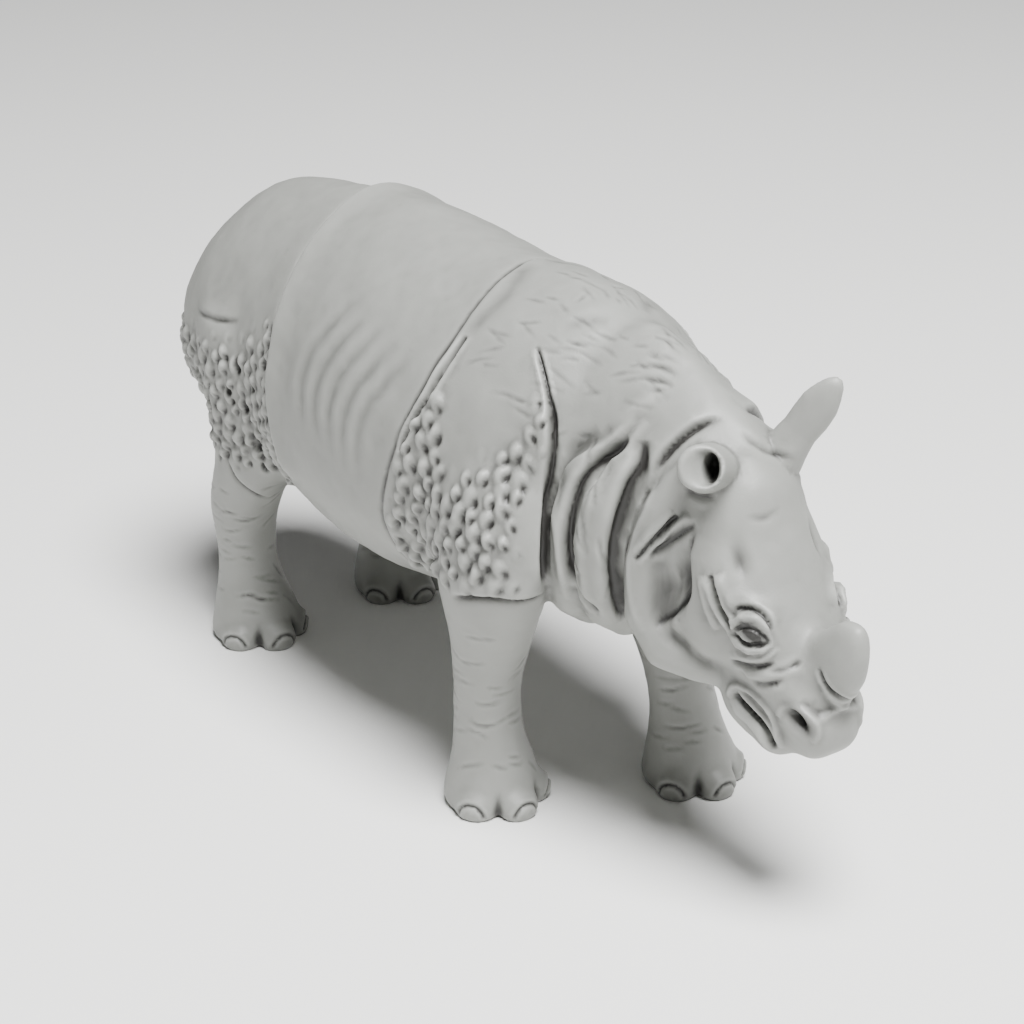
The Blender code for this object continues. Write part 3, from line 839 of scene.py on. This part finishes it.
# Fine wrinkles of the neck, the legs and the rolls: how many, their way and how far they turn from it, least
# and greatest length, half width, depth, and the seed of their scatter.
NECK_WRINKLES = (90, (0.8, 0, 0.2), 0.45, (6, 15), 0.8, 0.17, 3)
LEG_WRINKLES = (380, (0.6, 0.6, 0), 0.25, (6, 15), 0.8, 0.22, 4)
ROLL_WRINKLES = (60, (0.3, 0, -1), 0.5, (8, 16), 0.9, 0.5, 6)
# Where they lie: on the neck along it and up it, on the legs up them and behind an x, and on the rolls along
# the throat, under a height where they thin out and over another. A span of four starts, is full, thins out
# and ends.
NECK_SPAN = (60, 80, 135, 150)
NECK_RISE = (155, 180)
LEG_SPAN = (18, 26, 70, 84)
LEG_FRONT = 130
ROLL_SPAN = (116, 120, 146, 150)
ROLL_TOP = (150, 160)
ROLL_FOOT = 90
# Where the hide faces along that way a wrinkle would have no direction, so none is drawn.
WRINKLE_FLAT = 0.2
# How far a wrinkle bows as a share of its length, the share of its half length over which it fades, its least
# depth as a share of the greatest, its lips and the darkness of its painted shade.
WRINKLE_BOW = 0.12
WRINKLE_FADE = 0.8
WRINKLE_SHALLOW = 0.5
WRINKLE_LIPS = 0.5
WRINKLE_DARK = 0.25


def across_range(value, low, high):
    """Rises smoothly from 0 at low to 1 at high."""
    share = np.clip((value - low) / (high - low), 0, 1)
    return share * share * (3 - 2 * share)


def edge_at(heights, line):
    """Where a line down the side lies along the body at the given heights."""
    points = sorted((point[2], point[0]) for point in line)
    return np.interp(heights, [z for z, _ in points], [x for _, x in points])


def past(edge, value, margin):
    """Rises smoothly from 0 to 1 over a margin past an edge."""
    return across_range(value, edge + margin[0], edge + margin[1])


def within(value, span):
    """Rises smoothly at the start of a span of four and falls at its end."""
    start, full, thin, end = span
    return across_range(value, start, full) * across_range(-value, -end, -thin)


def shoulder_knobs(hide):
    """How thick the knobs lie on the shoulder plate: down its edges and all over its lower half."""
    x, y, z = hide.places.T
    back, front = edge_at(z, BACK_LAPS[1][0]), edge_at(z, seen(hide.tree, SEEN_LAPS[0][0]))
    top = np.interp((x - back) / (front - back), *zip(*SHOULDER_TOP))
    hem = np.interp(x, *zip(*SHOULDER_HEM))
    inside = past(back, x, SHOULDER_BACK_MARGIN) * past(-front, -x, SHOULDER_FRONT_MARGIN)
    inside = inside * past(-top, -z, SHOULDER_TOP_MARGIN) * past(hem, z, SHOULDER_HEM_MARGIN)
    return inside * (abs(y) > SHOULDER_SIDE)


def thigh_knobs(hide):
    """How thick the knobs lie on the hind quarter, under its upper crease."""
    x, _, z = hide.places.T
    front = edge_at(z, BACK_LAPS[0][0])
    top = np.interp(x, *zip(*THIGH_TOP))
    inside = past(-front, -x, THIGH_FRONT_MARGIN) * past(-top, -z, THIGH_TOP_MARGIN)
    return inside * across_range(z, *THIGH_FOOT) * (x < THIGH_FRONT)


def knobs(hide, thickness, gap, sizes, height, seed):
    """Scatters round knobs over part of the hide, each with a pit below it on the head's side, with painted
    shade in it.
    """
    draw = np.random.RandomState(seed)
    weight = thickness(hide)
    kept = np.zeros((0, 3))
    for index in draw.permutation(np.flatnonzero(weight > KNOB_LEAST)):
        centre, share = hide.places[index], weight[index]
        room = gap * (KNOB_SPARSE - KNOB_THINNING * share)
        if len(kept) and ((kept - centre) ** 2).sum(axis=1).min() < room * room:
            continue
        kept = np.vstack([kept, centre])
        size = draw.uniform(*sizes) * (KNOB_SMALL + KNOB_GAIN * share)
        turn = draw.uniform(-KNOB_TURN, KNOB_TURN)
        way = Vector((math.sin(turn) * KNOB_LEAN, 0, -math.cos(turn)))
        rise = height * draw.uniform(*KNOB_HEIGHTS) * share
        hide.dent(centre, [size * part for part in KNOB_SHAPE], -rise, way, crisp=KNOB_CRISP)
        aside = Vector((draw.uniform(*SCOOP_FORWARDS), 0, draw.uniform(*SCOOP_UP)))
        pit = Vector(centre) + aside * size * SCOOP_FAR
        depth = height * draw.uniform(*SCOOP_DEPTHS) * share
        hide.dent(pit, [size * part for part in SCOOP_SHAPE], depth, way, SCOOP_DARK * share)


def wrinkles(hide, thickness, count, way, turn, length, width, depth, seed):
    """Scatters short fine creases over part of the hide, each turned a little from the way given."""
    draw = np.random.RandomState(seed)
    weight = thickness(hide)
    chosen = draw.choice(len(weight), count, p=weight / weight.sum())
    for index in chosen:
        centre, normal = Vector(hide.places[index]), Vector(hide.normals[index])
        along = Vector(way) - normal * normal.dot(Vector(way))
        if along.length < WRINKLE_FLAT:
            continue
        along = Matrix.Rotation(draw.uniform(-turn, turn), 3, normal) @ along.normalized()
        half = along * draw.uniform(*length) / 2
        bend = normal.cross(along) * draw.uniform(-WRINKLE_BOW, WRINKLE_BOW) * half.length * 2
        points = (centre - half, centre + bend, centre + half)
        deep = depth * draw.uniform(WRINKLE_SHALLOW, 1)
        hide.crease(points, width, deep, half.length * WRINKLE_FADE, WRINKLE_LIPS, WRINKLE_DARK)


def neck_wrinkles(hide):
    """Over the top of the neck."""
    x, _, z = hide.places.T
    return within(x, NECK_SPAN) * across_range(z, *NECK_RISE)


def leg_wrinkles(hide):
    """Round the legs."""
    x, _, z = hide.places.T
    return within(z, LEG_SPAN) * (x < LEG_FRONT)


def roll_wrinkles(hide):
    """Down the rolls of the throat."""
    x, _, z = hide.places.T
    return within(x, ROLL_SPAN) * across_range(-z, -ROLL_TOP[1], -ROLL_TOP[0]) * (z > ROLL_FOOT)


def eyes(clay):
    """Eyeballs with a thick lid above and below."""
    clay.normal_update()
    tree = BVHTree.FromBMesh(clay)
    for flip in (tuple, across_the_middle):
        spot, normal, _, _ = tree.find_nearest(Vector(flip(seen(tree, (EYE,)))[0]))
        ball(clay, Matrix.Translation(spot - normal * EYE_SINK), EYE_SIZE)
        for lid in (UPPER_LID, LOWER_LID):
            points = []
            for count, point in enumerate(flip(seen(tree, lid))):
                on_skin, outwards, _, _ = tree.find_nearest(Vector(point))
                bow = math.sin(math.pi * count / (len(lid) - 1))
                middle = on_skin + outwards * (LID_STAND + LID_BOW * bow)
                points.append((*middle, LID_THICK * (LID_CORNER + (1 - LID_CORNER) * bow)))
            roll(clay, points)


def unevenness(hide):
    """The slight waviness that fingers leave in clay."""
    waves = np.zeros(len(hide.places))
    for length, height in WAVES:
        waves += height * np.array([noise.noise(Vector(place) / length) for place in hide.places])
    return waves


def nails(hide):
    """The edge of each toenail, an arch over the front of the toe, and the clefts between the toes, both with
    painted shade.
    """
    for x, y in FEET:
        foot = Matrix.Translation((x, y, 0))
        for bearing, far in TOES:
            turn = foot @ Matrix.Rotation(math.radians(bearing), 4, "Z")
            arch = []
            for step in range(NAIL_STEPS + 1):
                angle = math.pi * step / NAIL_STEPS
                height = NAIL_FOOT + NAIL_TALL * math.sin(angle)
                arch.append(turn @ Vector((far + TOE_SIZE[0], NAIL_WIDE * math.cos(angle), height)))
            hide.crease(arch, *NAIL_FURROW, fade=NAIL_FADE, dark=NAIL_DARK)
        for bearing in CLEFTS:
            turn = foot @ Matrix.Rotation(math.radians(bearing), 4, "Z")
            hide.dent(turn @ Vector(CLEFT_PLACE), CLEFT_SIZE, CLEFT_DEPTH, UPWARDS, CLEFT_DARK)


def drawn_hide(clay):
    """Works the hide of the whole animal, and gives back how much painted shade each place of it gets."""
    hide = Hide(clay)
    for points, over, stands in BACK_LAPS:
        hide.lap(across_the_middle(points[1:])[::-1] + points, over, stands)
    ribs = [[(x + NEXT_RIB[0] * count, y + NEXT_RIB[1] * count) for x, y in FIRST_RIB]
            for count in range(RIBS)]
    for points, width, depth in CROWN_STROKES:
        hide.crease(seen(hide.tree, points), width, depth, dark=CROWN_DARK)
    for flip in (tuple, across_the_middle):
        for points, over, stands in SEEN_LAPS:
            hide.lap(flip(seen(hide.tree, points)), flip((over,))[0], stands)
        for points, width, depth in BODY_STROKES:
            hide.crease(flip(seen(hide.tree, points)), width, depth)
        for points, width, depth in FACE_STROKES:
            hide.crease(flip(seen(hide.tree, points)), width, depth, fade=FACE_FADE)
        for points in ribs:
            rib = flip(seen(hide.tree, points))
            hide.crease(rib, *RIB_FURROW, fade=RIB_FADE, lips=RIB_LIPS, dark=RIB_DARK)
        for middle, towards, size, depth, dark in (*FACE_HOLLOWS, NOSTRIL, PUPIL):
            spot, end = (Vector(point) for point in flip(seen(hide.tree, (middle, towards))))
            hide.dent(spot, size, depth, end - spot, dark)
    knobs(hide, shoulder_knobs, *SHOULDER_KNOBS)
    knobs(hide, thigh_knobs, *THIGH_KNOBS)
    for flip in (tuple, across_the_middle):
        for spot in flip(seen(hide.tree, PITS)):
            hide.dent(spot, PIT_SIZE, PIT_DEPTH, PIT_WAY, PIT_DARK, PIT_CRISP)
    hide.heights += unevenness(hide)
    nails(hide)
    wrinkles(hide, neck_wrinkles, *NECK_WRINKLES)
    wrinkles(hide, leg_wrinkles, *LEG_WRINKLES)
    wrinkles(hide, roll_wrinkles, *ROLL_WRINKLES)
    return hide.press(clay)


def hollowness(clay, passes, depth):
    """How far each place lies under the general surface round it, as a share of a depth."""
    clay.normal_update()
    general = worked(clay.copy(), ("SMOOTH", {"iterations": passes}))
    away = np.array([even.co for even in general.verts]) - np.array([point.co for point in clay.verts])
    general.free()
    return (away * np.array([point.normal for point in clay.verts])).sum(axis=1) / depth


def thinned(clay, **amounts):
    """The clay with fewer triangles; each place takes its amounts from the nearest one before."""
    before = finder(clay)
    clay = worked(clay, ("DECIMATE", {"ratio": FACES / (2 * len(clay.faces))}))
    found = [before.find(point.co)[1] for point in clay.verts]
    for name, values in amounts.items():
        layer = clay.verts.layers.float.new(name)
        for point, value in zip(clay.verts, values[found]):
            point[layer] = value
    return clay


def stand(clay):
    """Cuts the soles flat on the ground and brings the figure to size over the frame's origin."""
    everything = clay.verts[:] + clay.edges[:] + clay.faces[:]
    bmesh.ops.bisect_plane(
        clay, geom=everything, plane_co=(0, 0, SOLE), plane_no=UPWARDS, clear_inner=True)
    bmesh.ops.holes_fill(clay, edges=[edge for edge in clay.edges if edge.is_boundary])
    for point in clay.verts:
        point.co = (point.co - FIGURE_MIDDLE) * UNIT


def linear(hex_colour):
    """An sRGB hex colour as the linear colour a shader takes."""
    parts = [int(hex_colour[place:place + 2], 16) / 255 for place in (1, 3, 5)]
    return (*(part / 12.92 if part <= 0.04045 else ((part + 0.055) / 1.055) ** 2.4 for part in parts), 1)


def node(tree, kind, links=None, **settings):
    """Adds a node with its settings; links gives, for each input, a value or the socket that feeds it."""
    made = tree.nodes.new(kind)
    for name, value in settings.items():
        setattr(made, name, value)
    for name, value in (links or {}).items():
        if isinstance(value, bpy.types.NodeSocket):
            tree.links.new(value, made.inputs[name])
        else:
            made.inputs[name].default_value = value
    return made


def bisque_porcelain():
    """Grey porcelain fired without a glaze. It is matt and fine grained, with painted shade in the folds,
    pits and dips and a painted highlight on the heights, so that every form shows in soft light and none of
    it shines."""
    material = bpy.data.materials.new("bisque porcelain")
    material.use_nodes = True
    tree = material.node_tree
    surface = tree.nodes["Principled BSDF"]
    surface.inputs["IOR"].default_value = PORCELAIN_IOR
    surface.inputs["Roughness"].default_value = PORCELAIN_ROUGHNESS
    place = node(tree, "ShaderNodeTexCoord").outputs["Object"]
    patches = {"Vector": place, "Scale": 1 / MOTTLE, "Detail": MOTTLE_DETAIL}
    mottle = node(tree, "ShaderNodeTexNoise", patches).outputs["Fac"]
    # Painted highlight: paler grey on the heights, where the clay bulges over its general surface.
    worn = node(tree, "ShaderNodeAttribute", attribute_name="worn").outputs["Fac"]
    # Painted shade in the folds, creases, pits, nostrils, pupils and hollows.
    hollow = node(tree, "ShaderNodeAttribute", attribute_name="hollow").outputs["Fac"]
    tone = linear(BODY_GREYS[0])
    for share, grey in ((mottle, BODY_GREYS[1]), (worn, PAINTED_HIGHLIGHT_GREY), (hollow, PAINTED_SHADE_GREY)):
        blend = {"Factor": share, "A": tone, "B": linear(grey)}
        tone = node(tree, "ShaderNodeMix", blend, data_type="RGBA").outputs["Result"]
    tree.links.new(tone, surface.inputs["Base Color"])
    grains = {"Vector": place, "Scale": 1 / GRAIN, "Detail": GRAIN_DETAIL}
    grain = node(tree, "ShaderNodeTexNoise", grains).outputs["Fac"]
    relief = {"Height": grain, "Strength": GRAIN_STRENGTH, "Distance": GRAIN_HEIGHT}
    tree.links.new(node(tree, "ShaderNodeBump", relief).outputs["Normal"], surface.inputs["Normal"])
    return material


def floor():
    """Plain floor of white paper, dull and even, so that only the animal's soft shadow shows on it."""
    clay = bmesh.new()
    bmesh.ops.create_grid(clay, x_segments=1, y_segments=1, size=FLOOR_SIZE)
    ground = put_down(clay, "floor")
    material = bpy.data.materials.new("white paper")
    material.use_nodes = True
    surface = material.node_tree.nodes["Principled BSDF"]
    surface.inputs["Base Color"].default_value = linear(FLOOR_WHITE)
    surface.inputs["Roughness"].default_value = FLOOR_ROUGHNESS
    ground.data.materials.append(material)


def camera():
    """Camera at the photograph's viewing angle."""
    lens = bpy.data.cameras.new("camera")
    lens.lens = CAMERA_LENS
    lens.sensor_width = SENSOR
    lens.clip_start = CAMERA_NEAREST
    eye = bpy.data.objects.new("camera", lens)
    eye.location = (CAMERA_PLACE - FIGURE_MIDDLE) * UNIT
    eye.rotation_mode = "QUATERNION"
    eye.rotation_quaternion = camera_turn()
    bpy.context.collection.objects.link(eye)
    bpy.context.scene.camera = eye


def overhead_lamp():
    """One large soft lamp over the animal."""
    lamp = bpy.data.lights.new("overhead", "AREA")
    lamp.shape = "DISK"
    lamp.size = LAMP_SIZE
    lamp.energy = LAMP_POWER
    holder = bpy.data.objects.new("overhead", lamp)
    holder.location = LAMP_PLACE
    holder.rotation_mode = "QUATERNION"
    aim = Vector(LAMP_AIM) - Vector(LAMP_PLACE)
    holder.rotation_quaternion = aim.to_track_quat("-Z", "Y")
    bpy.context.collection.objects.link(holder)


def studio():
    """Faint white light all round, and the lamp overhead."""
    world = bpy.data.worlds.new("studio")
    bpy.context.scene.world = world
    world.use_nodes = True
    around = world.node_tree.nodes["Background"]
    around.inputs["Color"].default_value = linear(AROUND_WHITE)
    around.inputs["Strength"].default_value = AROUND_STRENGTH
    overhead_lamp()


def figure():
    """The whole animal, from clay to finished mesh."""
    clay = bmesh.new()
    body(clay)
    head(clay)
    for stations in (FRONT_RIGHT, FRONT_LEFT, HIND_RIGHT, HIND_LEFT):
        leg(clay, stations)
    rounding = ("SUBSURF", {"levels": MASS_ROUNDING, "render_levels": MASS_ROUNDING})
    clay = kneaded(clay, MASS_GRAIN, MASS_SMOOTHING, rounding)
    toes(clay)
    rolls(clay)
    clay = kneaded(clay, CLAY_GRAIN, CLAY_SMOOTHING)
    eyes(clay)
    ears(clay)
    clay = kneaded(clay, FINE_GRAIN, FINE_SMOOTHING)
    shade = drawn_hide(clay)
    fine, broad = hollowness(clay, *FINE_HOLLOWS), hollowness(clay, *BROAD_HOLLOWS)
    # Painted shade: the shade drawn with the hide, plus darkening wherever the clay lies under its general
    # surface; painted highlight wherever it bulges over it.
    low = shade + CAVITY_SHADE_SHARE * np.clip(fine, 0, 1) + CAVITY_SHADE_SHARE * np.clip(broad, 0, 1)
    clay = thinned(clay, hollow=np.clip(low, 0, 1), worn=PAINTED_HIGHLIGHT_SHARE * np.clip(-fine, 0, 1))
    stand(clay)
    animal = put_down(clay, "porcelain_animal")
    animal.data.shade_smooth()
    animal.data.materials.append(bisque_porcelain())
    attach(animal, "root")
    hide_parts("rhinoceros")


figure()
floor()
camera()
studio()
